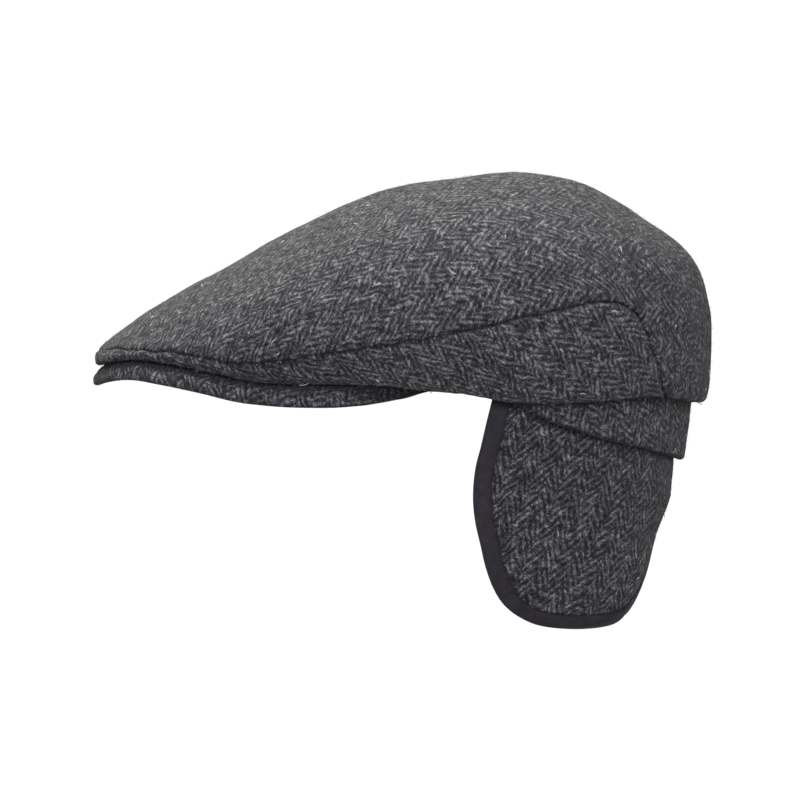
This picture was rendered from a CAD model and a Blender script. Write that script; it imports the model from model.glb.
# %% [markdown]
# # A stable cap in herringbone tweed
#
# This is a flat cap for winter stable work: a long crown of charcoal tweed drawn forward over a
# stiff peak, with a neck band and two lined flaps that let down over the ears. It is sewn from nine
# pieces of cloth, and each becomes one object here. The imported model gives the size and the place
# of every piece, and this script gives each one its fine surface and its cloth.
#
# The frame is the wearer's: +Z is up, the peak points to -Y and the wearer's left is +X. Shapes are
# worked out in millimetres, as on a pattern cutter's table, and become metres in the mesh.

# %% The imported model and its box
from collections import namedtuple

import bmesh
import bpy
import numpy as np
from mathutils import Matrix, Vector


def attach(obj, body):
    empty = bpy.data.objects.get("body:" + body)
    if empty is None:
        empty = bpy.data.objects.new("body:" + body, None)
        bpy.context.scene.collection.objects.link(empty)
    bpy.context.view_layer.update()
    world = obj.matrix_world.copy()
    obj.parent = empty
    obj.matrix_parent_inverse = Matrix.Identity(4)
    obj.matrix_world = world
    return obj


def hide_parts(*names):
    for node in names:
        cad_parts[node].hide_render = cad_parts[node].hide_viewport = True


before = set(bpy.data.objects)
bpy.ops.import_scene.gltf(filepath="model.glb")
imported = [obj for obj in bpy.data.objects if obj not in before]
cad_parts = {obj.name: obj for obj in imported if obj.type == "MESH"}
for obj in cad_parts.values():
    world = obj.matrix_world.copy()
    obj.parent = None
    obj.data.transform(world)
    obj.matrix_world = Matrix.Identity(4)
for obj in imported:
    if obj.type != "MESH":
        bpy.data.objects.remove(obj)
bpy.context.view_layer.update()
MM = 0.001
print("pieces in the packed model:", sorted(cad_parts))

# %% [markdown]
# ## Curves from a few sizes
#
# A cutter draws an edge through a few known points with a bent lath. The same is done here with a
# short table of places and values, read as a smooth curve. The slope at each row is the harmonic
# mean of the straight slopes beside it, so the curve never swings past its rows as a plain spline
# would. The tables hold shares of the cap's main sizes.

# %% The lath
FRONT_REACH = 164.6
REAR_REACH = 110.6
CROWN_HALF_WIDTH = 103.0
CROWN_HEIGHT = 101.4
CROWN_CLOTH = 2.0
APEX_BACK = 26.0


def cubic(value, rise, start, end, t):
    """Climbs by rise from value while t goes from 0 to 1, and leaves and arrives at two slopes."""
    return value + t * (start + t * (3 * rise - 2 * start - end + t * (start + end - 2 * rise)))


def smooth(table, at):
    """Reads (place, value) rows as cubic pieces whose slopes are harmonic means of the rows' own."""
    place, value = np.array(table, float).T
    slope = np.diff(value) / np.diff(place)
    before, after = slope[:-1], slope[1:]
    same = before * after > 0
    level = np.where(same, 2 * before * after / np.where(same, before + after, 1), 0)
    tangent = np.concatenate([slope[:1], level, slope[-1:]])
    at = np.clip(at, place[0], place[-1])
    i = np.clip(np.searchsorted(place, at, side="right") - 1, 0, len(place) - 2)
    step = place[i + 1] - place[i]
    t = (at - place[i]) / step
    return cubic(value[i], value[i + 1] - value[i], tangent[i] * step, tangent[i + 1] * step, t)


def read(table, name, at):
    """One named column of a table, read against its first column."""
    return smooth([(row[0], getattr(row, name)) for row in table], at)


def along(y):
    """A length along the cap as a share of the front or the rear reach."""
    return y / np.where(y < 0, FRONT_REACH, REAR_REACH)


# %% The hem and the seam, by their height along the cap
HEM = [
    (-1, 0.148), (-0.954, 0.163), (-0.887, 0.172), (-0.819, 0.158), (-0.711, 0.128),
    (-0.575, 0.084), (-0.437, 0.066), (-0.304, 0.062), (-0.168, 0.05), (-0.067, 0.036),
    (0, 0.027), (0.072, 0.013), (0.154, -0.002), (0.234, -0.012), (0.396, -0.019),
    (0.557, -0.009), (0.678, 0.009), (0.76, 0.013), (0.859, 0.004), (0.94, -0.006),
]
SEAM = [
    (-1, 0.219), (-0.941, 0.224), (-0.846, 0.221), (-0.765, 0.211), (-0.711, 0.19),
    (-0.656, 0.173), (-0.602, 0.163), (-0.542, 0.162), (-0.494, 0.169), (-0.439, 0.181),
    (-0.385, 0.195), (-0.331, 0.208), (-0.277, 0.22), (-0.222, 0.235), (-0.168, 0.248),
    (-0.06, 0.277), (0.073, 0.315), (0.153, 0.335), (0.234, 0.358), (0.315, 0.375),
    (0.396, 0.396), (0.476, 0.418), (0.557, 0.431), (0.618, 0.431), (0.674, 0.413),
    (0.71, 0.371), (0.735, 0.326), (0.755, 0.272), (0.775, 0.215), (0.795, 0.157),
    (0.811, 0.094), (0.822, 0.018), (0.84, -0.12),
]


def hem_height(y):
    return CROWN_HEIGHT * smooth(HEM, along(y))


def seam_height(y):
    return CROWN_HEIGHT * smooth(SEAM, along(y))


ear = np.array(20.0)
print(f"over the ear the hem is at {hem_height(ear):.1f} mm and the seam at {seam_height(ear):.1f} mm")

# %% [markdown]
# ## The crown's form
#
# A worn crown is a dome that is long in front and round behind. A hatter would carve it as a block
# from level sections. Here seven rings stand for those sections, each a superellipse whose front
# and rear halves have their own reach and fullness. A line climbs through the rings at every angle
# and passes over the top, so the whole crown is a function of two numbers: the angle round the
# head and the share of the way from the hem to the top.

# %% The crown as a function of angle and share
Ring = namedtuple("Ring", "front side rear centre front_power rear_power from_hem z_front z_side z_rear")
RINGS = [
    Ring(0.997, 0.869, 0.936, 0, 2.5, 2.2, True, 0, 0, 0),
    Ring(1, 0.925, 0.975, 0, 2.4, 2.2, True, 0.025, 0.045, 0.012),
    Ring(0.9985, 1, 0.997, 0, 2.12, 2.15, False, 0.21, 0.262, 0.13),
    Ring(0.899, 0.961, 0.992, 0, 2.1, 2.15, False, 0.345, 0.5, 0.414),
    Ring(0.69, 0.816, 0.924, 0, 2.05, 2.1, False, 0.546, 0.71, 0.631),
    Ring(0.4374, 0.602, 0.741, 0.045, 2, 2, False, 0.77, 0.858, 0.798),
    Ring(0.182, 0.33, 0.465, 0.11, 2, 2, False, 0.938, 0.955, 0.958),
]


def superellipse(angle, half_width, half_length, power):
    """The radius at an angle from the peak: (|sin/width|^n + |cos/length|^n)^(-1/n)."""
    across = np.abs(np.sin(angle)) / half_width
    lengthways = np.abs(np.cos(angle)) / half_length
    return (across**power + lengthways**power) ** (-1 / power)


def ring_points(ring, angle):
    """A ring's points. Heights blend from the side's to the end's by the square of the cosine."""
    ahead = np.cos(angle) > 0
    centre = ring.centre * REAR_REACH
    reach = np.where(ahead, ring.front * FRONT_REACH + centre, ring.rear * REAR_REACH - centre)
    power = np.where(ahead, ring.front_power, ring.rear_power)
    radius = superellipse(angle, ring.side * CROWN_HALF_WIDTH, reach, power)
    y = centre - radius * np.cos(angle)
    end = np.where(ahead, ring.z_front, ring.z_rear)
    lengthways = np.cos(angle) ** 2
    z = CROWN_HEIGHT * (end * lengthways + ring.z_side * (1 - lengthways))
    return np.stack([radius * np.sin(angle), y, z + (hem_height(y) if ring.from_hem else 0)], -1)


def crown_points(angles, shares):
    """The crown's outer face: centripetal cubics through the rings at each angle, 0 hem to 1 top.
    angles has one value a row, and shares a row of values for each angle."""
    rows = [ring_points(ring, angles) for ring in RINGS]
    top = np.broadcast_to([0, APEX_BACK, CROWN_HEIGHT], rows[0].shape)
    beyond = ring_points(RINGS[-1], angles + np.pi)
    line = np.stack([2 * rows[0] - rows[1], *rows, top, beyond], 1)
    place = np.clip(shares, 0, 1) * len(RINGS)
    piece = np.minimum(place.astype(int), len(RINGS) - 1)
    t = (place - piece)[..., None]
    row = np.arange(len(angles))[:, None]
    p0, p1, p2, p3 = (line[row, piece + k] for k in range(4))
    pairs = ((p0, p1), (p1, p2), (p2, p3))
    d0, d1, d2 = (np.linalg.norm(b - a, axis=-1, keepdims=True) ** 0.5 for a, b in pairs)
    start = d1 * ((p1 - p0) / d0 - (p2 - p0) / (d0 + d1) + (p2 - p1) / d1)
    end = d1 * ((p2 - p1) / d1 - (p3 - p1) / (d1 + d2) + (p3 - p2) / d2)
    return cubic(p1, p2 - p1, start, end, t)


def waver(point):
    """How far a sewn seam strays from its line: slow and quick waves of the way walked along it."""
    way = point[:, 1] - point[:, 2]
    slow = np.sin(2 * np.pi * way / 17 + 1.5 * np.sin(2 * np.pi * way / 53))
    return 0.3 * slow + 0.22 * np.sin(2 * np.pi * way / 6.1 + 2 * slow)


def seam_share(angles, offset=0.0):
    """Where the line at each angle crosses the seam, moved off it by an offset, found by halving."""
    low = np.zeros_like(angles)
    high = np.full_like(angles, 0.6)
    for _ in range(32):
        middle = (low + high) / 2
        point = crown_points(angles, middle[:, None])[:, 0]
        slope = (seam_height(point[:, 1] + 0.2) - seam_height(point[:, 1] - 0.2)) / 0.4
        under = point[:, 2] - seam_height(point[:, 1]) < (offset + waver(point)) * np.hypot(1, slope)
        low = np.where(under, middle, low)
        high = np.where(under, high, middle)
    return (low + high) / 2


# %% [markdown]
# ## Grids, walls and stitched meshes
#
# Every piece is made of patches. A patch is a grid of points with a matching grid of places on the
# flat cloth, and the patches of one piece meet along their borders. Stitching merges the points
# that meet, so each piece ends as one closed wall, and then turns all its faces outward.

# %% Stitching patches into a piece
MERGE_DISTANCE = 2e-6
SHARP_ANGLE = np.radians(70)
WAVES = 20
Patch = namedtuple("Patch", "points chart finish crease", defaults=[0, 0.0])
OUTER_FACES = {}


def unit(vectors):
    """Vectors brought to length 1."""
    return vectors / np.maximum(np.linalg.norm(vectors, axis=-1, keepdims=True), 1e-9)


def outward(points, closed):
    """Unit normals of a grid: the change along its rows crossed with the change along its columns."""
    if closed:
        sideways = np.roll(points, -1, 0) - np.roll(points, 1, 0)
    else:
        sideways = np.gradient(points, axis=0)
    return unit(np.cross(sideways, np.gradient(points, axis=1)))


def closed_round(grid):
    """The grid with its first row repeated at the end."""
    return np.concatenate([grid, grid[:1]])


def wall(front, back, chart, shade, rows=(0, -1), columns=(0, -1), behind=0, crease=0.0):
    """A wall's two faces, and the strips that close it between them at some rows and columns."""
    edges = [(front[k], back[k], chart[k], 0) for k in rows]
    edges += [(front[:, k], back[:, k], chart[:, k], 1) for k in columns]
    strips = [Patch(np.stack([outer, inner], way), np.stack([flat, flat], way), 0, crease)
              for outer, inner, flat, way in edges]
    return [Patch(front, chart, 0, shade), Patch(back, chart, behind), *strips]


def placed(name, data):
    """A new object in the scene, for a mesh, a light or a camera."""
    made = bpy.data.objects.new(name, data)
    bpy.context.scene.collection.objects.link(made)
    return made


def stitched(name, patches, materials):
    """Joins patches into one closed mesh in metres, with the cloth's flat places as its UV map."""
    starts = np.cumsum([0] + [patch.points[..., 0].size for patch in patches])
    points = np.concatenate([patch.points.reshape(-1, 3) for patch in patches])
    chart = np.concatenate([patch.chart.reshape(-1, 2) for patch in patches])
    quads = []
    for patch, start in zip(patches, starts):
        at = np.arange(patch.points[..., 0].size).reshape(patch.points.shape[:2]) + start
        quads.append(np.stack([at[:-1, :-1], at[1:, :-1], at[1:, 1:], at[:-1, 1:]], -1).reshape(-1, 4))
    finish = np.concatenate([np.full(len(q), patch.finish) for q, patch in zip(quads, patches)])
    quads = np.concatenate(quads)
    mesh = bpy.data.meshes.new(name)
    mesh.from_pydata(points * MM, [], quads)
    mesh.uv_layers.new(name="cloth").data.foreach_set("uv", (chart[quads] * MM).ravel())
    mesh.polygons.foreach_set("material_index", finish.astype(np.int32))
    shades = [np.broadcast_to(patch.crease, patch.points.shape[:2]).ravel() for patch in patches]
    crease = mesh.attributes.new("crease", "FLOAT", "POINT").data
    crease.foreach_set("value", np.concatenate(shades).astype(np.float32))
    work = bmesh.new()
    work.from_mesh(mesh)
    bmesh.ops.remove_doubles(work, verts=work.verts, dist=MERGE_DISTANCE)
    bmesh.ops.recalc_face_normals(work, faces=work.faces)
    work.to_mesh(mesh)
    open_edges = sum(1 for edge in work.edges if not edge.is_manifold)
    work.free()
    mesh.shade_smooth()
    mesh.set_sharp_from_angle(angle=SHARP_ANGLE)
    for material in materials:
        mesh.materials.append(material)
    print(f"{name}: {len(mesh.polygons)} faces, {open_edges} open edges, {len(mesh.vertices)} points")
    OUTER_FACES[name] = patches[0].points
    return placed(name, mesh)


def mirrored(name, patches, side, materials):
    """The piece made for the wearer's left, or turned over for the right where side is -1."""
    moved = [patch._replace(points=patch.points * (side, 1, 1)) for patch in patches]
    return stitched(name, moved, materials)


def dressed(piece, node):
    """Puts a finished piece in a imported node's place."""
    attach(piece, "root")
    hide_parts(node)


def split(places):
    """Complex places as two columns."""
    return np.stack([places.real, places.imag], -1)


def cut_flat(piece):
    """Declares a piece as cloth: the width and length of its flat grid, and the area inside it."""
    return piece


def lengths(points, axis=0):
    """The length walked along an axis of a grid up to each point."""
    steps = np.linalg.norm(np.diff(points, axis=axis), axis=-1)
    first = np.zeros_like(np.take(steps, [0], axis))
    return np.concatenate([first, np.cumsum(steps, axis)], axis)


def walk(line):
    """The length walked along a line up to each of its points."""
    return lengths(line[:, None])[:, 0]


def beside(points, line):
    """For each point of a grid, its distance from a line and how far along the line it lies."""
    gaps = (np.linalg.norm(row[:, None] - line[None], axis=-1) for row in points)
    near, which = zip(*((gap.min(1), gap.argmin(1)) for gap in gaps))
    return np.array(near), walk(line)[np.array(which)]


def ripple(points, size, seed):
    """A soft relief from about -1 to 1: waves near one size in millimetres, in random directions."""
    rng = np.random.default_rng(seed)
    heading = unit(rng.normal(size=(WAVES, 3)))
    number = 2 * np.pi / (size * rng.uniform(0.7, 1.5, (WAVES, 1)))
    waves = np.sin(points @ (heading * number).T + rng.uniform(0, 2 * np.pi, WAVES))
    return waves.sum(-1) / np.sqrt(2 * WAVES)


# %% [markdown]
# ## Laying a dome flat
#
# Herringbone stripes run straight on the bolt. On the worn crown they bend only as far as the cloth
# was steamed over the block, so the pattern needs to know where each point of the dome lay on the
# flat cloth. That is the cutter's problem turned round. The grid's triangles are laid on the table
# as rigid bits, each is turned to agree best with its neighbours, and the points are then moved to
# where the turned bits want them. Steaming over the block does the rest. It pulls the threads back
# towards one direction along the head, so every bit is also turned part of the way to it, the more
# so the nearer it already runs along the head.

# %% Flattening by turning triangles and settling points
STEAMING = 12.0
SETTLING_ROUNDS = 30


def lay_flat(points, angles):
    """Flat places, as complex numbers, of a ring-shaped grid whose last column is one point."""
    rows, cols = points.shape[:2]
    at = np.arange(rows)[:, None] * (cols - 1) + np.arange(cols)[None]
    at[:, -1] = rows * (cols - 1)
    at = closed_round(at)
    whole = closed_round(points)
    lower = np.stack([at[:-1, :-1], at[1:, :-1], at[1:, 1:]], -1).reshape(-1, 3)
    upper = np.stack([at[:-1, :-1], at[1:, 1:], at[:-1, 1:]], -1)[:, :-1].reshape(-1, 3)
    corners = np.concatenate([lower, upper])
    place = np.empty((at.max() + 1, 3))
    place[at] = whole
    edge = np.roll(place[corners], -1, 1) - place[corners]
    first = unit(edge[:, 0])
    normal = np.cross(edge[:, 0], edge[:, 1])
    second = np.cross(unit(normal), first)
    own = np.einsum("tkc,tc->tk", edge, first) + 1j * np.einsum("tkc,tc->tk", edge, second)
    spread = np.conj(np.roll(own, -2, 1)) * -np.roll(own, -1, 1)
    weight = np.maximum(spread.real / np.abs(spread.imag), 0.02)
    rearward = first[:, 1] + 1j * second[:, 1]
    steamed = STEAMING * 2 * np.linalg.norm(normal, axis=1) * 1j * np.conj(rearward)
    steamed = steamed * np.abs(rearward) ** 4
    tail, head = corners, np.roll(corners, -1, 1)
    pull = np.zeros((len(place), len(place)))
    for a, b in ((tail, head), (head, tail)):
        np.add.at(pull, (a, a), weight)
        np.add.at(pull, (a, b), -weight)
    pull[-1, -1] += 1
    settle = np.linalg.inv(pull)
    down = lengths(points[:, ::-1], 1)[:, ::-1]
    flat = np.zeros(len(place), complex)
    flat[at[:-1]] = down * np.exp(1j * (angles[:, None] - np.pi / 2))
    for _ in range(SETTLING_ROUNDS):
        turn = (weight * (flat[head] - flat[tail]) * np.conj(own)).sum(1) + steamed
        wanted = weight * own * (turn / np.abs(turn))[:, None]
        load = np.zeros(len(place), complex)
        np.add.at(load, head, wanted)
        np.add.at(load, tail, -wanted)
        flat = settle @ load
    return flat[at[:-1]]


# %% [markdown]
# ## How a sewn edge lies
#
# Where two panels of tweed are sewn, each rolls in over a small radius, swells a little over the
# allowance that is turned inside, and puckers between the stitches. The seam reads as a soft dark
# line, and nothing else marks it. The same relief serves the hem, which is turned up and pressed.

# %% The relief beside an edge
ROLL = 1.4
SWELL = 0.45
SWELL_AT = 3.2
SWELL_WIDTH = 2.4
PUCKER = 0.4
PUCKER_LENGTH = 9.0
SAG = 0.55
KEPT_DYE = 0.34


def edge_relief(distance, reached, roll=ROLL, swell=SWELL):
    """Height off the plain surface: a quarter circle inwards at the edge, a rounded swelling over
    the allowance, and waves along the edge that die out within a few millimetres."""
    depth = np.clip(roll - distance, 0, roll)
    height = np.sqrt(roll**2 - depth**2) - roll
    height += swell * np.exp(-(((distance - SWELL_AT) / SWELL_WIDTH) ** 2))
    beat = 2 * np.pi * reached / PUCKER_LENGTH
    wave = np.sin(beat + 2.2 * np.sin(beat / 4.7)) * np.sin(beat / 2.9 + 1)
    return height + PUCKER * wave * np.exp(-distance / 5) * np.minimum(distance / roll, 1)


def crease_shade(distance, reach=0.9):
    """How dark an edge's hollow is, from 1 at the edge to 0: hairs close it off from the light."""
    return np.exp(-((distance / reach) ** 2))


def shaded_below(points, edge_height, reach):
    """The hollow under an edge that hangs over a piece: 1 behind it, fading out below it."""
    return np.exp(-((np.clip(edge_height - points[..., 2], 0, None) / reach) ** 2))


def kept_dye(points):
    """How much darker than elsewhere the wool is: it faded along the front and the ridge, and kept
    its dye on the slope behind the ridge."""
    behind = np.clip((along(points[..., 1]) - 0.1) / 0.6, 0, 1)
    above = np.clip((points[..., 2] - 22) / 35, 0, 1)
    return KEPT_DYE * behind * above


def pressed_flat(points):
    """How far an edge may roll at a place: fully, but only a little at the front tip."""
    return 0.3 + 0.7 * np.clip((points[..., 1] + 161) / 30, 0, 1)


def cloth_sag(points):
    """The soft unevenness of steamed tweed: long low swells with a shorter one over them."""
    return SAG * ripple(points, 46, 3) + 0.16 * ripple(points, 15, 4)


# %% Angles that keep the seam's points evenly spaced
HALF_ROUND = np.linspace(0, np.pi, 3001)


def spaced_angles(count):
    """Angles from the peak to the centre back whose steps share out both the seam's length and the
    turn round the head, so they crowd together where the seam drops behind the ear."""
    walked = walk(crown_points(HALF_ROUND, seam_share(HALF_ROUND)[:, None])[:, 0])
    even = walked / walked[-1] + HALF_ROUND / np.pi
    return np.interp(np.linspace(0, even[-1], count), even, HALF_ROUND)


# %% [markdown]
# ## The cloth's finish
#
# A herringbone is a twill that turns back at every stripe. Its strokes lean one way across one
# column of threads and the other way across the next. The distance across the stripes is folded
# into a zigzag, and a stroke is then a straight wave on the zigzag. What makes it tweed is
# everything that breaks that wave: yarn spun unevenly from light and dark wool, fibres that stand
# off the face, flecks, and patches where the finisher's brush raised the nap.

# %% Short words for wiring nodes
class Wiring:
    """The node tree of a material or world, with one short method for each kind of node used."""

    def __init__(self, owner):
        owner.use_nodes = True
        self.owner = owner
        self.tree = owner.node_tree
        self.shader = self.tree.nodes.get("Principled BSDF")

    def feed(self, node, inputs):
        """Links or sets a node's inputs."""
        for key, value in dict(inputs).items():
            if isinstance(value, bpy.types.NodeSocket):
                self.tree.links.new(value, node.inputs[key])
            else:
                node.inputs[key].default_value = value

    def node(self, kind, inputs=(), **settings):
        made = self.tree.nodes.new(kind)
        for key, value in settings.items():
            setattr(made, key, value)
        self.feed(made, inputs)
        return made

    def math(self, operation, *values):
        return self.node("ShaderNodeMath", enumerate(values), operation=operation).outputs[0]

    def vector(self, operation, first, second):
        inputs = {0: first, "Scale" if operation == "SCALE" else 1: second}
        return self.node("ShaderNodeVectorMath", inputs, operation=operation).outputs[0]

    def total(self, start, *parts):
        """A start and some sockets, each times its share."""
        for part, share in parts:
            start = self.math("MULTIPLY_ADD", part, share, start)
        return start

    def noise(self, vector, scale, detail=2.0, roughness=0.5):
        """Noise with its features about 1/scale apart, from about 0.3 to 0.7."""
        inputs = {"Vector": vector, "Scale": scale, "Detail": detail, "Roughness": roughness}
        return self.node("ShaderNodeTexNoise", inputs).outputs["Fac"]

    def uneven(self, vector, scale, detail=2.0, roughness=0.5):
        """The same noise about zero."""
        return self.math("SUBTRACT", self.noise(vector, scale, detail, roughness), 0.5)

    def moved(self, vector, scale, reach):
        """A place pushed about by up to a quarter of a reach, by noise of a scale."""
        noise = self.node("ShaderNodeTexNoise", {"Vector": vector, "Scale": scale, "Detail": 2.0})
        push = self.vector("SUBTRACT", noise.outputs["Color"], (0.5, 0.5, 0.5))
        return self.vector("ADD", vector, self.vector("SCALE", push, reach))

    def span(self, value, low, high, to_low=0.0, to_high=1.0):
        """A soft step from to_low to to_high while the value climbs from low to high."""
        inputs = {"Value": value, "From Min": low, "From Max": high, "To Min": to_low, "To Max": to_high}
        return self.node("ShaderNodeMapRange", inputs, interpolation_type="SMOOTHSTEP").outputs["Result"]

    def join(self, x, y, z=0.0):
        return self.node("ShaderNodeCombineXYZ", {"X": x, "Y": y, "Z": z}).outputs[0]

    def ramp(self, value, stops):
        made = self.node("ShaderNodeValToRGB", {"Fac": value})
        while len(made.color_ramp.elements) < len(stops):
            made.color_ramp.elements.new(0.5)
        for element, (place, color) in zip(made.color_ramp.elements, stops):
            element.position = place
            element.color = (*color, 1)
        return made.outputs["Color"]

    def cloth_millimetres(self):
        """The piece's own places on the flat cloth, in millimetres."""
        chart = self.node("ShaderNodeUVMap", uv_map="cloth").outputs["UV"]
        return self.vector("SCALE", chart, 1 / MM)

    def crease(self):
        """How dark the hollow beside an edge is, from the mesh."""
        return self.node("ShaderNodeAttribute", attribute_name="crease").outputs["Fac"]

    def bump(self, relief, reach, strength):
        inputs = {"Height": relief, "Distance": reach, "Strength": strength}
        return self.node("ShaderNodeBump", inputs).outputs[0]


# %% Herringbone tweed
COLUMN_WIDTH = 6.0
STROKE_PITCH = 2.5
STROKE_LEAN = np.radians(31)
CREASE_DEPTH = 0.3
MIDDLE_LIGHT = 0.425
WOOL = [
    (0.0, (0.016, 0.0155, 0.017)), (0.3, (0.045, 0.0445, 0.047)), (0.5, (0.098, 0.0975, 0.1)),
    (0.72, (0.22, 0.219, 0.22)), (1.0, (0.56, 0.56, 0.555)),
]


def tweed(name):
    """Herringbone: fold the place across the columns into a zigzag, take a wave across the strokes,
    break it with noise that runs along them, and lift the light threads off the face."""
    w = Wiring(bpy.data.materials.new(name))
    place = w.cloth_millimetres()
    bent = w.moved(w.moved(place, 0.13, 4.0), 1.3, 0.9)
    apart = w.node("ShaderNodeSeparateXYZ", {0: bent}).outputs
    zigzag = w.math("PINGPONG", apart["X"], COLUMN_WIDTH)
    column = w.math("FLOOR", w.math("DIVIDE", apart["X"], COLUMN_WIDTH))
    cosine, sine = float(np.cos(STROKE_LEAN)), float(np.sin(STROKE_LEAN))
    odd = w.math("PINGPONG", column, 1.0)
    across = w.total(0.0, (zigzag, cosine), (apart["Y"], -sine), (odd, STROKE_PITCH / 2))
    lengthwise = w.total(0.0, (zigzag, sine), (apart["Y"], cosine))
    sway = w.uneven(w.join(across, w.math("MULTIPLY", lengthwise, 0.5), column), 0.5)
    across = w.total(across, (sway, 1.4))
    wave = w.math("SINE", w.math("MULTIPLY", across, float(2 * np.pi / STROKE_PITCH)))
    spun = w.join(w.math("MULTIPLY", across, 1.3), w.math("MULTIPLY", lengthwise, 0.8), column)
    yarn = w.noise(spun, 0.75, 2.0, 0.6)
    strength = w.span(yarn, 0.36, 0.62, 0.04, 0.30)
    thread = w.math("MULTIPLY", wave, strength)
    drawn = w.join(across, w.math("MULTIPLY", lengthwise, 0.4), column)
    dash = w.uneven(drawn, 1.7, 2.0, 0.6)
    grain = w.uneven(place, 1.25, 3.0, 0.7)
    fibre = w.uneven(place, 2.8, 2.0, 0.6)
    nap = w.uneven(place, 0.34, 3.0, 0.6)
    wear = w.uneven(place, 0.13, 2.0, 0.5)
    light = w.total(MIDDLE_LIGHT, (thread, 1.0), (dash, 0.8), (grain, 1.4), (fibre, 1.5),
                    (nap, 1.4), (wear, 0.6), (w.crease(), -CREASE_DEPTH))
    relief = w.total(0.0, (thread, 1.6), (grain, 2.2))
    w.feed(w.shader, {
        "Base Color": w.ramp(light, WOOL), "Normal": w.bump(relief, 0.0004, 0.8), "Roughness": 0.95,
        "Specular IOR Level": 0.15, "Sheen Weight": 0.12, "Sheen Roughness": 0.55,
    })
    return w.owner


# %% Black lining cloth
def lining_cloth(name, color, grain):
    """A close smooth cloth: one dark colour with a faint crosswise grain and a soft low relief."""
    w = Wiring(bpy.data.materials.new(name))
    place = w.cloth_millimetres()
    apart = w.node("ShaderNodeSeparateXYZ", {0: place}).outputs
    slant = w.math("ADD", apart["X"], apart["Y"])
    rib = w.math("SINE", w.math("MULTIPLY", slant, float(2 * np.pi / grain)))
    fine = w.noise(place, 2.2, 3.0, 0.6)
    patch = w.noise(place, 0.2, 3.0, 0.6)
    shade = w.total(0.0, (fine, 0.5), (patch, 0.5), (w.crease(), -CREASE_DEPTH))
    stops = [(place, tuple(share * c for c in color)) for place, share in ((0.3, 0.68), (0.7, 1.85))]
    relief = w.total(0.0, (rib, 0.12), (fine, 0.8))
    w.feed(w.shader, {
        "Base Color": w.ramp(shade, stops), "Normal": w.bump(relief, 0.0002, 0.6), "Roughness": 0.85,
        "Specular IOR Level": 0.2, "Sheen Weight": 0.15, "Sheen Roughness": 0.5,
    })
    return w.owner


TWEED = tweed("charcoal_herringbone_tweed")
FLAP_LINING = lining_cloth("black_flap_lining", (0.038, 0.034, 0.04), 0.9)
CROWN_LINING = lining_cloth("black_crown_lining", (0.05, 0.048, 0.053), 1.2)


# %% [markdown]
# ## The top panel
#
# One large piece of tweed runs from the front edge over the head and down the back to the hem. Its
# outer face follows the crown from the seam to the top at every angle. The inner face lies one
# cloth's thickness inside and stands for the lining. The stripes rise to the rear across the left
# side, at the slant measured in the photo, and the flattened grid carries that slant over the whole
# panel.

# %% Sewing edges and walls of the crown
INSIDE = 1
COARSE_EVERY = 4


def upturned(points):
    """Outward normals of a crown grid that ends at the top, where straight up is the answer."""
    normal = outward(points, closed=True)
    normal[:, -1] = (0, 0, 1)
    return normal


def turned(places, angle):
    """Complex places turned by an angle, as two columns."""
    return split(places * np.exp(1j * angle))


def crown_faces(plain, normal, height, sag):
    """The outer and the inner face of a crown panel, at heights off its plain surface."""
    return plain + normal * (height + sag)[..., None], plain + normal * (sag - CROWN_CLOTH)[..., None]


def grain_turn(points, flat, column_angle, where):
    """The turn that makes a column of the cloth, seen from the left, rise at column_angle at a
    place: the grid's steps there give how a direction in the view lies on the flat cloth."""
    left = points[..., 0] > 0
    far = np.where(left, np.hypot(points[..., 1] - where[0], points[..., 2] - where[1]), 1e9)
    i, j = np.unravel_index(far.argmin(), far.shape)
    seen = np.array([points[i + 1, j] - points[i - 1, j], points[i, j + 1] - points[i, j - 1]])[:, 1:]
    steps = np.linalg.solve(seen.T, [np.cos(column_angle), np.sin(column_angle)])
    laid = steps @ np.array([flat[i + 1, j] - flat[i - 1, j], flat[i, j + 1] - flat[i, j - 1]])
    return np.pi / 2 - np.angle(laid)


# %% The top panel
TOP_ANGLES = 201
TOP_STEPS = 68
TOP_COLUMN_ANGLE = np.radians(38)
TOP_COLUMN_AT = (-36.0, 58.0)


def top_panel():
    """The crown from the seam, or the hem where the seam has run out, to the top, all round."""
    half = spaced_angles(TOP_ANGLES)
    angles = np.concatenate([half, 2 * np.pi - half[-2:0:-1]])
    start = seam_share(angles, 0.05)
    step = np.linspace(0, 1, TOP_STEPS) ** 1.55
    plain = crown_points(angles, start[:, None] + (1 - start[:, None]) * step)
    normal = upturned(plain)
    distance, reached = beside(plain, plain[:, 0])
    height = edge_relief(distance, reached) * pressed_flat(plain)
    outer, inner = crown_faces(plain, normal, height, cloth_sag(plain))
    coarse = np.arange(0, len(angles), COARSE_EVERY)
    levels = np.arange(0, TOP_STEPS, COARSE_EVERY)
    levels = np.append(levels[levels < TOP_STEPS - 2], TOP_STEPS - 1)
    flat = lay_flat(plain[np.ix_(coarse, levels)], angles[coarse])
    flat = np.array([np.interp(np.arange(TOP_STEPS), levels, row) for row in flat])
    rows = np.append(coarse, len(angles))
    flat = closed_round(flat)
    flat = np.array([np.interp(np.arange(len(angles)), rows, column) for column in flat.T]).T
    chart = turned(flat, grain_turn(plain, flat, TOP_COLUMN_ANGLE, TOP_COLUMN_AT))
    shade = np.maximum(crease_shade(distance), kept_dye(plain))
    outer, inner, chart, shade = (closed_round(grid) for grid in (outer, inner, chart, shade))
    patches = wall(outer, inner, chart, shade, (), [0], INSIDE, crease=1.0)
    piece = stitched("crown_top_tweed", patches, [TWEED, CROWN_LINING])
    return cut_flat(piece)


top = top_panel()
dressed(top, "crown_top")


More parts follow.
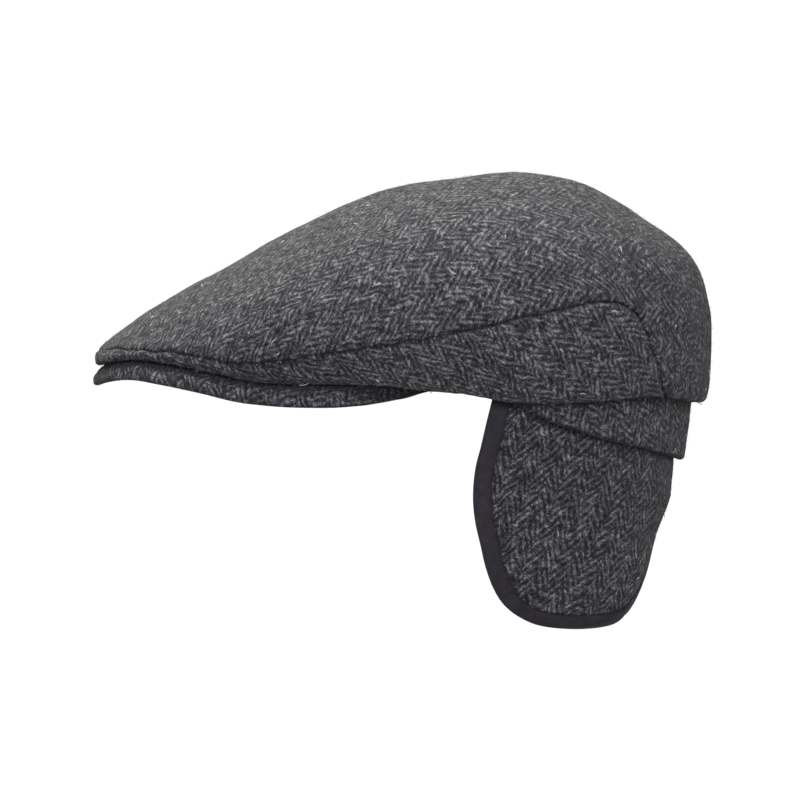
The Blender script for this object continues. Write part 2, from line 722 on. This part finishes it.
# %% [markdown]
# ## The side panels
#
# A long low panel fills each side between the curved seam and the hem. It is narrow over the front
# of the peak, widest over the ear, and its seam drops to the hem behind the ear. Both long edges
# are rolled. Its stripes fall to the rear, against those of the top panel.

# %% The side panels
SIDE_ANGLES = 420
SIDE_STEPS = 44
SIDE_COLUMN_ANGLE = np.radians(141)
SIDE_END = 2.4
UNDER_FRONT = 0.22
FRONT_GAP = 0.15
THINNEST = 0.15


def side_end_angle():
    """The last angle where the seam still stands SIDE_END above the hem."""
    y = ring_points(RINGS[0], HALF_ROUND)[:, 1]
    return HALF_ROUND[seam_height(y) - hem_height(y) > SIDE_END].max()


def side_panel(side, hand):
    """The crown from the hem to the seam. side is 1 on the wearer's left and -1 on the right."""
    angles = spaced_angles(SIDE_ANGLES)
    angles = angles[angles < side_end_angle()]
    angles[0] = FRONT_GAP / FRONT_REACH
    end = seam_share(angles, -0.05)
    t = np.linspace(0, 1, SIDE_STEPS)
    crowded = 0.5 - 0.5 * np.cos(np.pi * t)
    step = 0.5 * t + 0.5 * crowded
    plain = crown_points(angles, end[:, None] * step)
    normal = outward(plain, closed=False)
    distance, reached = beside(plain, plain[:, -1])
    to_hem, hem_reached = beside(plain, plain[:, 0])
    to_front = lengths(plain, 0)
    height = edge_relief(distance, reached) * pressed_flat(plain)
    height += edge_relief(to_hem, hem_reached, ROLL, 0.2) + edge_relief(to_front, 0 * to_front, 0.4, 0)
    height = np.maximum(height, THINNEST - CROWN_CLOTH)
    outer, inner = crown_faces(plain, normal, height, cloth_sag(plain))
    middle = plain[:, SIDE_STEPS // 2] * (1, 1, 0)
    walked = np.broadcast_to(walk(middle)[:, None], plain.shape[:2])
    flat = walked + 1j * lengths(plain, 1)
    chart = turned(flat, np.pi / 2 - SIDE_COLUMN_ANGLE)
    under_front = UNDER_FRONT * np.clip((-35 - plain[..., 1]) / 40, 0, 1)
    shade = np.maximum(np.maximum(crease_shade(distance), crease_shade(to_hem, 1.3)), under_front)
    patches = wall(outer, inner, chart, shade, behind=INSIDE)
    piece = mirrored(f"crown_side_{hand}_tweed", patches, side, [TWEED, CROWN_LINING])
    return cut_flat(piece)


for side, hand in ((1, "left"), (-1, "right")):
    dressed(side_panel(side, hand), f"crown_side_{hand}")


# %% [markdown]
# ## The peak
#
# The peak is a stiff board covered in the same tweed, with the cloth drawn round its rim. It arches
# from side to side and passes just under the hem, so from the side only its rounded rim shows, as a
# second lip under the crown. Its cloth was cut flat, so the pattern is laid out in plan from the
# middle and carries on round the rim, where the upper cloth ends in a seam on the lower edge.

# %% The peak
PEAK_THICKNESS = 7.4
PEAK_ARCH_RADIUS = 150.0
PEAK_MOUTH_HALF_WIDTH = 83.5
PEAK_MOUTH_LENGTH = 100.0
PEAK_END = np.radians(83)
Rim = namedtuple("Rim", "place past_hem thickness drop")
PEAK_RIM = [
    Rim(-1, 0.18, 0.85, 0.37), Rim(-0.94, 0.22, 0.9, 0.27), Rim(-0.86, 0.32, 1, 0.215),
    Rim(-0.575, 0.61, 1, 0.205), Rim(-0.36, 0.53, 1, 0.22), Rim(-0.27, 0.26, 0.95, 0.24),
    Rim(-0.18, -0.2, 0.74, 0.22), Rim(-0.12, -0.44, 0.56, 0.02), Rim(-0.05, -0.49, 0.42, -0.42),
]
PEAK_COLUMN_ANGLE = np.radians(42)
PEAK_ROWS = 260
PEAK_STEPS = 26
RIM_STEPS = 21
PEAK_SEAM_TURN = -0.62
SEAM_SINKS = 0.45


def hem_half_width(y):
    """Half the hem's width at a place ahead of the origin, from the hem ring's superellipse."""
    ring = RINGS[0]
    share = np.clip(np.abs(y) / (ring.front * FRONT_REACH), 0, 1)
    return ring.side * CROWN_HALF_WIDTH * (1 - share**ring.front_power) ** (1 / ring.front_power)


def round_plan(angle, half_width, half_length, power):
    """A superellipse in plan, as points at angles from the peak."""
    radius = superellipse(angle, half_width, half_length, power)
    return radius[..., None] * np.stack([np.sin(angle), -np.cos(angle)], -1)


def plan_outward(after, before):
    """Unit directions square to a plan curve, pointing out of it."""
    step = after - before
    return unit(np.stack([step[..., 1], -step[..., 0]], -1))


def inside_plan(plan, angle, depth, z):
    """Points of a plan curve at angles, moved in square to it by a depth, at heights."""
    out = plan_outward(plan(angle + 0.005), plan(angle - 0.005))
    return np.concatenate([plan(angle) - out * depth[..., None], z[..., None]], -1)


def peak_board():
    """At each angle a straight line in plan runs from the mouth to the rim. The board's faces stand
    half its thickness above and below it, and a half circle joins them round the rim."""
    angle = PEAK_END * np.linspace(-1, 1, PEAK_ROWS)
    hem = ring_points(RINGS[0], angle)
    out = plan_outward(ring_points(RINGS[0], angle + 0.01), ring_points(RINGS[0], angle - 0.01))
    at = along(hem[:, 1])[:, None]
    over, thick, drop = (PEAK_THICKNESS * read(PEAK_RIM, name, at)
                         for name in ("past_hem", "thickness", "drop"))
    edge = hem[:, :2] + out * over
    start = round_plan(angle, PEAK_MOUTH_HALF_WIDTH, PEAK_MOUTH_LENGTH, 2)
    reach = edge - start
    length = np.linalg.norm(reach, axis=1, keepdims=True)
    reach = (reach / length)[:, None]
    half = thick / 2
    flat = length - half

    def place(distance, lift):
        plan = start[:, None] + reach * distance[..., None]
        arch = (hem_half_width(plan[..., 1]) ** 2 - plan[..., 0] ** 2) / (2 * PEAK_ARCH_RADIUS)
        level = hem_height(plan[..., 1]) - drop - half + arch
        return np.concatenate([plan, (level + lift)[..., None]], -1)

    share = np.linspace(0, 1, PEAK_STEPS)[None] ** 0.8
    turn = np.linspace(np.pi / 2, -np.pi / 2, RIM_STEPS)[None, 1:-1]
    round_rim = place(flat + half * np.cos(turn), half * np.sin(turn))
    upper = place(share * flat, half + 0 * share)
    lower = place(share[:, ::-1] * flat, -half + 0 * share)
    past_hem = np.concatenate([share * flat, flat + half * np.cos(turn)], 1) - (length - over)
    return upper, round_rim, lower, turn[0], past_hem


def peak_piece():
    upper, round_rim, lower, turn, past_hem = peak_board()
    cut = int(np.argmin(np.abs(turn - PEAK_SEAM_TURN)))
    over = np.concatenate([upper, round_rim[:, : cut + 1]], 1)
    under = np.concatenate([round_rim[:, cut:], lower], 1)
    mouth = np.stack([lower[:, -1], upper[:, 0]], 1)
    sag = 0.3 * ripple(over, 30, 11) + 0.12 * ripple(over, 11, 12)
    normal = outward(over, closed=False)
    walked = lengths(over, 1)
    seam = np.exp(-(walked[:, -1:] - walked) / 0.7)
    over = over + normal * ((sag - SEAM_SINKS * seam) * np.minimum(1, walked / 4))[..., None]
    under[:, 0] = over[:, -1]
    chart = []
    for points in (over, under[:, ::-1], mouth):
        start = points[:, :1, :2]
        ahead = min(12, points.shape[1] - 1)
        heading = unit(points[:, ahead : ahead + 1, :2] - start)
        flat = start + heading * lengths(points, 1)[..., None]
        chart.append(turned(flat[..., 1] - 1j * flat[..., 0], np.pi / 2 - PEAK_COLUMN_ANGLE))
    shade = np.exp(-((np.clip(past_hem[:, : over.shape[1]], 0, None) / 1.2) ** 2))
    shade = np.maximum(shade, seam)
    patches = [Patch(over, chart[0], 0, shade), Patch(under[:, ::-1], chart[1]), Patch(mouth, chart[2])]
    for end in (0, -1):
        ring = np.concatenate([over[end], under[end, 1:]])
        half = len(ring) // 2
        facing = np.stack([ring[:half], ring[::-1][:half]], 0)
        if len(ring) % 2:
            facing = np.concatenate([facing, np.stack([ring[half], ring[half]])[:, None]], 1)
        patches.append(Patch(facing, facing[..., :2]))
    return stitched("peak_tweed", patches, [TWEED])


dressed(peak_piece(), "peak")


# %% [markdown]
# ## The neck band
#
# Below the hem, from ear to ear round the back, shows a band of tweed folded double along its lower
# edge, so its cut is a strip twice as wide. It hangs a little inside the hem and leans in towards
# the neck.

# %% The neck band
HEM_CURL = 0.7
SEAM_GAP = 0.3
LAYER_GAP = 0.45
BAND_CLOTH = 3.2
FOLD_SLOT = 0.1
HOLLOW_REACH = 1.7
BAND_RISE = 11.0
BAND_FALL = 26.8
BAND_LEAN = 3.2
BAND_POWER = 2.15
BAND_START = np.radians(101)
BAND_EDGE = [
    (0.14, 0.04), (0.235, -0.1), (0.396, -0.4), (0.557, -0.61), (0.719, -0.77),
    (0.848, -0.9), (0.92, -1),
]
FLAP_COLUMN_ANGLE = np.radians(66)
BAND_ROWS = 300
FOLD_STEPS = 12
LEAF_STEPS = 26
BAND_PUFF = 0.45


def inside_hem(reach):
    return reach - HEM_CURL * CROWN_CLOTH - SEAM_GAP


BAND_HALF_WIDTH = inside_hem(RINGS[0].side * CROWN_HALF_WIDTH)
BAND_HALF_LENGTH = inside_hem(RINGS[0].rear * REAR_REACH)


def band_points(angle, z, depth):
    """The band's outer face moved in by a depth: a superellipse that leans in towards its edge."""
    lean = BAND_LEAN * np.clip(-z / BAND_FALL, 0, 1)

    def plan(turn):
        return round_plan(turn, BAND_HALF_WIDTH, BAND_HALF_LENGTH - lean, BAND_POWER)

    return inside_plan(plan, angle, depth, z)


def neck_band():
    """A profile carried round the head: down the outer leaf, round the fold and up the inner leaf.
    Both sides of the cloth share it, as circles of two sizes about the middle of the fold."""
    angle = np.linspace(BAND_START, 2 * np.pi - BAND_START, BAND_ROWS)[:, None]
    middle = band_points(angle, 0 * angle, 0 * angle)
    low = BAND_FALL * smooth(BAND_EDGE, along(middle[..., 1]))
    half = BAND_CLOTH / 2
    turn = np.linspace(0, np.pi / 2, FOLD_STEPS)[None]
    climb = np.linspace(0, 1, LEAF_STEPS)[None, 1:]
    centre = low + half
    walked = lengths(middle)
    near_end = np.minimum(np.minimum(walked, walked[-1] - walked) / 4, 1)

    def leaf(radius, side, puffed):
        """One leaf's face from the fold to the top, at a radius from the middle of the fold."""
        z = np.concatenate([centre - radius * np.cos(turn), centre + (BAND_RISE - centre) * climb], 1)
        depth = half + side * radius * np.concatenate([np.sin(turn), 0 * climb + 1], 1)
        angles = np.broadcast_to(angle, z.shape)
        plain = band_points(angles, z, 0 * z)
        sag = 0.35 * ripple(plain, 28, 21) + 0.15 * ripple(plain, 10, 22)
        puff = puffed * np.sin(np.pi * (z - low) / (BAND_RISE - low)) * near_end
        return band_points(angles, z, depth - puff - sag)

    face = leaf(half, -1, BAND_PUFF)
    outside = np.concatenate([face[:, ::-1], leaf(half, 1, 0)[:, 1:]], 1)
    slot = np.concatenate([leaf(FOLD_SLOT, -1, 0)[:, ::-1], leaf(FOLD_SLOT, 1, 0)[:, 1:]], 1)
    flat = walked + 1j * (lengths(outside, 1) - low)
    chart = turned(flat, np.pi / 2 - FLAP_COLUMN_ANGLE)
    shade = shaded_below(outside, hem_height(outside[..., 1]), HOLLOW_REACH)
    shade = np.maximum(shade, 0.75 * crease_shade(outside[..., 2] - low, 1.0))
    piece = stitched("neck_band_tweed", wall(outside, slot, chart, shade), [TWEED])
    OUTER_FACES[piece.name] = face
    return cut_flat(piece)


dressed(neck_band(), "neck_band")


# %% [markdown]
# ## The ear flaps
#
# A flap is a tongue of tweed on a smooth black lining. The lining is cut larger, comes round the
# edge and shows as a plain black border in front and below. At the back the flap curls towards
# the neck and the border turns out of sight. Both layers share one grid shaped like the flap itself:
# it runs from the edge to the border's inner line and on to a spine down the middle, so the rolled
# edges follow the outline exactly.

# %% The flap's curve round the head
FLAP_DROP = 101.5
FLAP_RISE = 8.0
FLAP_CLOTH = 2.0
LINING_CLOTH = 1.2
FLAP_CURL = 3.5
FLAP_CURL_WIDTH = 22.0
FLAP_RADIUS = 86.0
FLAP_SAG = 0.45
FACE_PUFF = 0.35
BORDER_SWELL = 0.35
FLAP_DYE = 0.13
BORDER_DYE = 0.28
BORDER_FRONT, BORDER_BOTTOM, BORDER_REAR = 8.6, 6.2, 5.0
FLAP_HALF_WIDTH = BAND_HALF_WIDTH - BAND_CLOTH - LAYER_GAP
FLAP_HALF_LENGTH = BAND_HALF_LENGTH - BAND_CLOTH - LAYER_GAP
BAND_OVER_FLAP = BAND_HALF_LENGTH / FLAP_HALF_LENGTH
CENTRE_BACK = np.pi - SEAM_GAP / 2 / (0.94 * FLAP_HALF_LENGTH)
Form = namedtuple("Form", "depth width length power")
FLAP_FORM = [
    Form(0, 1, 0.968, BAND_POWER), Form(0.27, 0.99, 0.957, 2.28), Form(0.4, 0.98, 0.949, 2.45),
    Form(0.49, 0.972, 0.932, 2.6), Form(0.59, 0.965, 0.903, 2.8), Form(0.74, 0.953, 0.882, 3.15),
    Form(0.88, 0.942, 0.852, 3.5), Form(1, 0.933, 0.83, 3.6),
]
Row = namedtuple("Row", "depth front rear")
FLAP_OUTLINE = [
    Row(-0.13, 101.7, 180), Row(0, 99.7, 180), Row(0.1, 98, 180), Row(0.2, 96.4, 180),
    Row(0.29, 94.8, 180), Row(0.37, 94.1, 180), Row(0.44, 94, 178.4), Row(0.54, 94.8, 172.5),
    Row(0.63, 96.3, 167), Row(0.73, 98, 161), Row(0.82, 100.4, 155.4), Row(0.89, 103.5, 150.6),
    Row(0.93, 106.6, 147.3), Row(0.96, 110, 144.2), Row(0.98, 113.2, 140.8),
    Row(0.993, 117.2, 136), Row(1, 122, 130.5),
]


def flap_points(walked, z, depth):
    """The flap's outer face moved in by a depth, at a length walked round the head and a height.
    Below where the flaps part, the cloth near the rear edge curls in by the square of its nearness."""
    angle = walked / FLAP_RADIUS
    share = np.clip(-z / FLAP_DROP, 0, 1)
    width, length, power = (read(FLAP_FORM, name, share) for name in ("width", "length", "power"))
    rear = np.radians(read(FLAP_OUTLINE, "rear", share)) * FLAP_RADIUS
    near_rear = np.clip(1 - np.maximum(rear - walked, 0) / FLAP_CURL_WIDTH, 0, 1)
    curl = FLAP_CURL * np.clip((share - 0.42) / 0.16, 0, 1) * near_rear**2

    def plan(turn):
        return round_plan(turn, FLAP_HALF_WIDTH * width, FLAP_HALF_LENGTH * length, power)

    return inside_plan(plan, angle, depth + curl, z)


# %% The flap's grid
SPINE_END = -66.0
FLAP_ROWS = 76
FLAP_BOTTOM_ROWS = 96


def resampled(points, count):
    """Points spaced evenly along a smooth curve through the given ones."""
    walked = walk(points)
    slope = np.gradient(points, walked, axis=0)
    at = np.linspace(0, walked[-1], count)
    i = np.clip(np.searchsorted(walked, at, side="right") - 1, 0, len(points) - 2)
    step = (walked[i + 1] - walked[i])[:, None]
    t = ((at - walked[i])[:, None]) / step
    return cubic(points[i], points[i + 1] - points[i], slope[i] * step, slope[i + 1] * step, t)


def flap_outline():
    """The flap's edge on the flat cloth, down the front and up the rear, as a dense curve."""
    depth, front, rear = np.array(FLAP_OUTLINE).T
    down = np.stack([np.radians(front) * FLAP_RADIUS, -depth * FLAP_DROP], 1)
    up = np.stack([np.radians(rear) * FLAP_RADIUS, -depth * FLAP_DROP], 1)
    return resampled(np.concatenate([down, up[::-1]]), 1600)


def flap_lines():
    """Matching points on the edge, on the border's inner line and on the spine."""
    whole = flap_outline()
    lowest = whole[:, 1].argmin()
    heights = np.linspace(FLAP_RISE, SPINE_END, FLAP_ROWS)
    front = np.interp(-heights, -whole[:lowest, 1], whole[:lowest, 0])
    rear = np.interp(heights, whole[lowest:, 1], whole[lowest:, 0])
    rear = np.minimum(rear, CENTRE_BACK * FLAP_RADIUS)
    first, last = np.flatnonzero(whole[:, 1] < SPINE_END)[[0, -1]]
    arc = resampled(whole[first : last + 1 : 8], FLAP_BOTTOM_ROWS)
    edge = np.concatenate([np.stack([front, heights], 1), arc[1:-1], np.stack([rear, heights], 1)[::-1]])
    middle = np.stack([(front + rear) / 2, heights], 1)
    spine = np.concatenate([middle, np.repeat(middle[-1:], len(arc) - 2, 0), middle[::-1]])
    out = plan_outward(np.gradient(edge, axis=0), 0)
    parted = np.clip((-edge[:, 1] / FLAP_DROP - 0.38) / 0.1, 0, 1)
    side = np.where(out[:, 0] < 0, BORDER_FRONT, BORDER_REAR * parted)
    width = side * out[:, 0] ** 2 + BORDER_BOTTOM * out[:, 1] ** 2
    return edge, edge - out * width[:, None], spine, width


def between(start, end, shares):
    return start[:, None] + (end - start)[:, None] * shares[None, :, None]


def rounded(distance, radius):
    """How far a rounded edge has fallen back at a distance in from it: a quarter circle."""
    return radius - np.sqrt(radius**2 - np.clip(radius - distance, 0, radius) ** 2)


EDGE_STEPS = np.linspace(0, 1, 15) ** 1.4
FACE_STEPS = np.linspace(0, 1, 30) ** 1.25


def flap_layer(name, side, flat, depths, dye, material):
    """One layer from its flat grid, the depths of its two faces and how much darker it is dyed. It
    is darker still in the hollow under the hem and, behind the ear, under the band's edge."""
    relief = FLAP_SAG * ripple(np.concatenate([flat, 0 * flat[..., :1]], -1), 38, 30 + side)
    front, back = (flap_points(flat[..., 0], flat[..., 1], depth - relief) for depth in depths)
    y = front[..., 1]
    band_edge = BAND_FALL * smooth(BAND_EDGE, along(BAND_OVER_FLAP * y)) - 0.2
    hollow = shaded_below(front, np.minimum(hem_height(y), band_edge), HOLLOW_REACH)
    place = flat[..., 0] + 1j * flat[..., 1]
    chart = turned(place, np.pi / 2 - FLAP_COLUMN_ANGLE)
    patches = wall(front, back, chart, np.maximum(hollow, dye), columns=[0])
    return cut_flat(mirrored(name, patches, side, [material]))


def flap_face(side, hand):
    """The tweed: rolled in at the border's inner line, and slightly raised inside it."""
    _, inner_line, spine, width = flap_lines()
    distance = FACE_STEPS * np.linalg.norm(spine - inner_line, axis=1)[:, None]
    fall = np.clip(width, 0, 1.0)[:, None]
    puff = FACE_PUFF * (1 - np.exp(-distance / 3)) * np.exp(-distance / 25) * (1 - FACE_STEPS**2)
    depths = (rounded(distance, 1.5) * fall - puff * fall, FLAP_CLOTH)
    dye = np.maximum(FLAP_DYE, 0.5 * crease_shade(distance, 0.6) * fall)
    flat = between(inner_line, spine, FACE_STEPS)
    return flap_layer(f"ear_flap_{hand}_tweed", side, flat, depths, dye, TWEED)


def flap_lining(side, hand):
    """The border is a round-edged roll on the outer face. The lining then dips under the tweed, and
    behind it runs one plain face from edge to edge."""
    edge, inner_line, spine, width = flap_lines()
    width = width[:, None]
    under = FLAP_CLOTH + LAYER_GAP
    whole = under + LINING_CLOTH
    distance = EDGE_STEPS * width
    swell = BORDER_SWELL * np.sin(np.pi * EDGE_STEPS) * np.clip(width / 5, 0, 1)
    border = rounded(distance, whole / 2) - swell
    border += np.clip(1.1 - (width - distance), 0, 1.1) * np.clip(width / 4, 0, 1)
    border = np.where(width < 0.2, whole / 2, border)
    inside = between(inner_line, spine, FACE_STEPS[1:] * 0.999 + 0.001)
    flat = np.concatenate([between(edge, inner_line, EDGE_STEPS), inside], 1)
    front_depth = np.concatenate([border, np.full(inside.shape[:2], under)], 1)
    to_edge = np.concatenate([distance, width + FACE_STEPS[1:] * 30], 1)
    depths = (front_depth, whole - rounded(to_edge, whole / 2))
    dye = BORDER_DYE * np.clip((-flat[..., 1] - 62) / 30, 0, 1)
    return flap_layer(f"flap_lining_{hand}_cloth", side, flat, depths, dye, FLAP_LINING)


for side, hand in ((1, "left"), (-1, "right")):
    dressed(flap_face(side, hand), f"ear_flap_{hand}")
    dressed(flap_lining(side, hand), f"flap_lining_{hand}")


# %% [markdown]
# ## Stray fibres
#
# Wool hairs stand off the face all over and soften every edge against the light. Among them lies
# kemp, the coarse white hairs that won't take the dye, in dashes and curls. Each hair here is a thin
# closed spindle on a bent line.

# %% Hairs on the cloth
def plain_hair(name, grey):
    """A matt hair of one grey."""
    w = Wiring(bpy.data.materials.new(name))
    w.feed(w.shader, {"Base Color": (grey, grey, 0.98 * grey, 1), "Roughness": 0.8})
    return w.owner


HAIR = plain_hair("grey_wool_hair", 0.45)
KEMP = plain_hair("white_kemp", 0.88)
HAIR_RADIUS = 0.05
KEMP_RADIUS = 0.19


def grid_cells(grid):
    """Each cell's first corner, its two sides and their cross product, as long as its area."""
    corner, one, other = (part.reshape(-1, 3) for part in (grid[:-1, :-1], grid[1:, :-1], grid[:-1, 1:]))
    return corner, one - corner, other - corner, np.cross(one - corner, other - corner)


def spots_on(grid, count, rng):
    """Random places on a grid's cells, as many in each as its share of the area, and the normals."""
    corner, one, other, normal = grid_cells(grid)
    area = np.linalg.norm(normal, axis=1)
    cell = rng.choice(len(area), count, p=area / area.sum())
    u, v = rng.uniform(size=(2, count, 1))
    spot = corner[cell] + u * one[cell] + v * other[cell]
    normal = normal[cell] / area[cell][:, None]
    outward_sign = np.sign((normal * (spot - (0, 20, 0))).sum())
    return spot, normal * outward_sign


def hairs(spot, normal, length, radius, curl, lift, joints, rng):
    """Points and faces of hairs: each turns steadily by curl in the cloth's plane while it rises."""
    count = len(spot)
    first = unit(np.cross(normal, rng.normal(size=(count, 3))))
    second = np.cross(normal, first)
    s = np.linspace(0, 1, joints)
    heading = (curl[:, None] * (s - 0.5))[..., None]
    way = first[:, None] * np.cos(heading) + second[:, None] * np.sin(heading)
    beside = second[:, None] * np.cos(heading) - first[:, None] * np.sin(heading)
    path = spot[:, None] + np.cumsum(way, 1) * (length / joints)[:, None, None]
    path = path + normal[:, None] * (lift[:, None] * np.sin(s * 2.2) - 0.12 * (1 - s))[..., None]
    turn = 2 * np.pi * np.arange(3) / 3
    ring = beside[:, :, None] * np.cos(turn)[:, None] + normal[:, None, None] * np.sin(turn)[:, None]
    rings = path[:, 1:-1, None] + ring[:, 1:-1] * radius
    points = np.concatenate([path[:, :1], rings.reshape(count, -1, 3), path[:, -1:]], 1)
    faces = []
    for j in range(3):
        k = (j + 1) % 3
        faces.append([0, 1 + k, 1 + j])
        for level in range(joints - 3):
            at = 1 + 3 * level
            faces += [[at + j, at + k, at + k + 3], [at + j, at + k + 3, at + j + 3]]
        end = 1 + 3 * (joints - 3)
        faces.append([end + j, end + k, points.shape[1] - 1])
    starts = np.arange(count)[:, None, None] * points.shape[1]
    return points.reshape(-1, 3), (np.array(faces)[None] + starts).reshape(-1, 3)


def fibres(name, grid, density, seed, curls=0):
    """Short hairs at a number to the square millimetre, and a count of kemp hairs that lie on it."""
    rng = np.random.default_rng(50 + seed)
    count = int(np.linalg.norm(grid_cells(grid)[-1], axis=1).sum() * density)
    spot, normal = spots_on(grid, count, rng)
    length = np.clip(rng.gamma(3, 0.42, count), 0.5, 3)
    lift = length * rng.uniform(0.1, 0.55, count)
    points, faces = hairs(spot, normal, length, HAIR_RADIUS, rng.normal(0, 1.2, count), lift, 4, rng)
    fine = len(faces)
    if curls:
        spot, normal = spots_on(grid, curls, rng)
        length = np.clip(rng.gamma(1.6, 1.3, curls), 0.9, 6)
        curl, lift = rng.normal(0, 2.6, curls), 0.35 + length * 0.05
        long_points, long_faces = hairs(spot, normal, length, KEMP_RADIUS, curl, lift, 14, rng)
        faces = np.concatenate([faces, long_faces + len(points)])
        points = np.concatenate([points, long_points])
    mesh = bpy.data.meshes.new(name)
    mesh.from_pydata(points * MM, [], faces)
    mesh.materials.append(HAIR)
    mesh.materials.append(KEMP)
    mesh.polygons.foreach_set("material_index", (np.arange(len(faces)) >= fine).astype(np.int32))
    piece = placed(name, mesh)
    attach(piece, "root")
    print(f"{name}: {count} hairs and {curls} curls, {len(faces)} faces")


HAIRY = [
    ("crown_top", 0.12, 110), ("crown_side_left", 0.14, 16), ("crown_side_right", 0.14, 16),
    ("peak", 0.12, 8), ("neck_band", 0.14, 8), ("ear_flap_left", 0.14, 14), ("ear_flap_right", 0.14, 14),
]
for seed, (node, density, curls) in enumerate(HAIRY):
    fibres(f"{node}_fibres", OUTER_FACES[f"{node}_tweed"], density, seed, curls)


# %% [markdown]
# ## The studio
#
# The cap hangs in front of white, as a shop shows it. A round pale floor curves up into a wall all
# the way round, so no horizon shows from any side. A wide soft box hangs overhead, a little behind
# the crown's ridge, and makes the top the lightest part. A weaker one stands on the camera's side.
# The floor and the wall give the camera more light than they give the cap, which keeps the
# underside and the turned edges as dark as in the photo. The floor is clear from below, so that the
# inside of the cap can be looked at.

# %% Floor and wall
FLOOR_HEIGHT = -0.30
FLOOR_RADIUS = 14.0
WALL_CURVE = 2.0
BACKDROP_SEEN = 1.05
BACKDROP_GIVEN = 0.30


def backdrop():
    """A disc whose edge turns up in a quarter circle: radius and height against one parameter."""
    turn = np.linspace(0, np.pi / 2, 16)
    wall = FLOOR_RADIUS + WALL_CURVE * np.sin(turn[1:])
    radius = np.concatenate([np.linspace(0, FLOOR_RADIUS, 12), wall])
    height = np.concatenate([np.zeros(12), WALL_CURVE * (1 - np.cos(turn[1:]))]) + FLOOR_HEIGHT
    round_angle = np.linspace(0, 2 * np.pi, 97)[:-1]
    x = radius[:, None] * np.cos(round_angle)
    y = radius[:, None] * np.sin(round_angle)
    points = np.stack([x, y, np.broadcast_to(height[:, None], x.shape)], -1)
    at = np.arange(x.size).reshape(x.shape)
    after = np.roll(at, -1, 1)
    quads = np.stack([at[:-1], at[1:], after[1:], after[:-1]], -1).reshape(-1, 4)
    mesh = bpy.data.meshes.new("studio_floor")
    mesh.from_pydata(points.reshape(-1, 3), [], quads)
    mesh.shade_smooth()
    return placed("studio_floor", mesh)


def seen_and_given(w, kind, seen, given):
    """Two lights of a kind, chosen by whether the camera looks or the cap is being lit."""
    w.tree.nodes.clear()
    looks = w.node("ShaderNodeLightPath").outputs["Is Camera Ray"]
    given = w.node(kind, {"Strength": given}).outputs[0]
    seen = w.node(kind, {"Strength": seen}).outputs[0]
    return w.node("ShaderNodeMixShader", {"Fac": looks, 1: given, 2: seen}).outputs[0]


floor = backdrop()
paper = Wiring(bpy.data.materials.new("white_paper"))
lit = seen_and_given(paper, "ShaderNodeEmission", BACKDROP_SEEN, BACKDROP_GIVEN)
underneath = paper.node("ShaderNodeNewGeometry").outputs["Backfacing"]
clear = paper.node("ShaderNodeBsdfTransparent").outputs[0]
sided = paper.node("ShaderNodeMixShader", {"Fac": underneath, 1: lit, 2: clear}).outputs[0]
paper.node("ShaderNodeOutputMaterial", {"Surface": sided})
floor.data.materials.append(paper.owner)

# %% World and lights
ROOM_GIVEN = 0.38
CAP_MIDDLE = Vector((0, -0.03, 0))
room = Wiring(bpy.data.worlds.new("white_room"))
lit = seen_and_given(room, "ShaderNodeBackground", BACKDROP_SEEN, ROOM_GIVEN)
room.node("ShaderNodeOutputWorld", {"Surface": lit})
bpy.context.scene.world = room.owner


def soft_box(name, place, size, power, color):
    """A square soft box at a place in metres, turned to face the cap."""
    light = bpy.data.lights.new(name, "AREA")
    light.size = size
    light.energy = power
    light.color = color
    box = placed(name, light)
    box.location = place
    box.rotation_euler = (CAP_MIDDLE - Vector(place)).to_track_quat("-Z", "Y").to_euler()


soft_box("overhead_box", (-0.15, -0.2, 1.3), 1.3, 20, (1.0, 1.0, 0.96))
soft_box("camera_side_box", (1.6, 0.1, 0.45), 1.0, 8.5, (1.0, 0.95, 1.2))

# %% [markdown]
# ## The camera
#
# The photo looks at the cap's left side from far off, turned a degree or so towards the back. A
# long lens at nine metres gives the same flat drawing.

# %% The camera
CAMERA_DISTANCE = 9.0
CAMERA_AZIMUTH = np.radians(91.2)
CAMERA_ELEVATION = np.radians(0.2)
VIEW_CENTRE = Vector((0.03, -0.0277, 0.0))
VIEW_WIDTH = 0.357
camera_data = bpy.data.cameras.new("camera")
camera_data.sensor_width = 36.0
camera_data.lens = camera_data.sensor_width * CAMERA_DISTANCE / VIEW_WIDTH
camera_data.clip_end = 60
camera = placed("camera", camera_data)
back = Vector((
    np.sin(CAMERA_AZIMUTH) * np.cos(CAMERA_ELEVATION),
    -np.cos(CAMERA_AZIMUTH) * np.cos(CAMERA_ELEVATION),
    np.sin(CAMERA_ELEVATION),
))
camera.location = VIEW_CENTRE + back * CAMERA_DISTANCE
camera.rotation_euler = back.to_track_quat("Z", "Y").to_euler()
bpy.context.scene.camera = camera
bpy.context.scene.view_settings.view_transform = "Standard"
